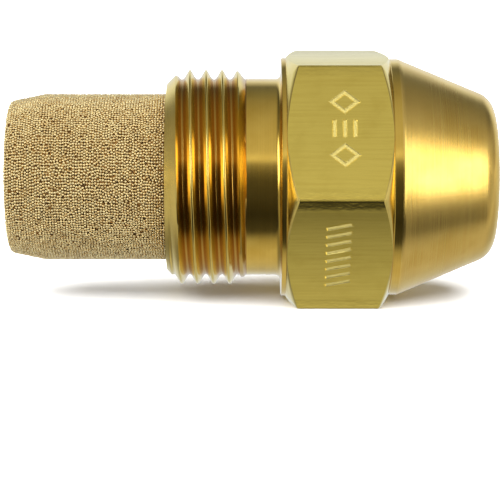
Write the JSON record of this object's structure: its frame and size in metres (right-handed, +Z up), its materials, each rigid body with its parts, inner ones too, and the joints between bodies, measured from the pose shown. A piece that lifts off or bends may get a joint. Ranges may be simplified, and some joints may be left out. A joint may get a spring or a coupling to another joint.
{
  "type": "oil burner nozzle",
  "caption": "Brass oil burner nozzle with a threaded shank, wrench hexagon and conical nose, a steel orifice disc and swirl distributor inside, a hollow lock screw and a sintered bronze filter.",
  "frame": {"origin": "on the nozzle axis, in the plane of the body's rear sealing face", "axes": "+X along the nozzle axis towards the spray end; one flat of the hexagon faces -Z, and +Z is up with the nozzle lying on that flat"},
  "size_m": [0.032, 0.0184, 0.0158],
  "materials": {
    "body_brass": "turned and milled, bright",
    "orifice_steel": "lapped stainless steel",
    "distributor_steel": "turned stainless steel",
    "screw_brass": "turned, satin",
    "sintered_bronze": "sintered balls, dull"
  },
  "bodies": {
    "housing": {"nozzle_body": "body_brass", "orifice_disc": "orifice_steel"},
    "distributor_carrier": {"distributor": "distributor_steel"},
    "screw": {"lock_screw": "screw_brass"},
    "filter_thimble": {"filter": "sintered_bronze"}
  },
  "joints": [
    {"name": "lock_screw_travel", "type": "slide", "parent": "housing", "child": "distributor_carrier", "axis": [-1, 0, 0], "range_m": [0, 0.018]},
    {"name": "lock_screw_turn", "type": "hinge", "parent": "distributor_carrier", "child": "screw", "pos_m": [0.0124, 0, 0], "axis": [-1, 0, 0], "range_deg": [0, 6480.1]},
    {"name": "filter_pull", "type": "slide", "parent": "screw", "child": "filter_thimble", "axis": [-1, 0, 0], "range_m": [0, 0.008]}
  ],
  "couplings": [
    {"joint": "lock_screw_turn", "follows": "lock_screw_travel", "rad_per_m": 6283.2}
  ]
}
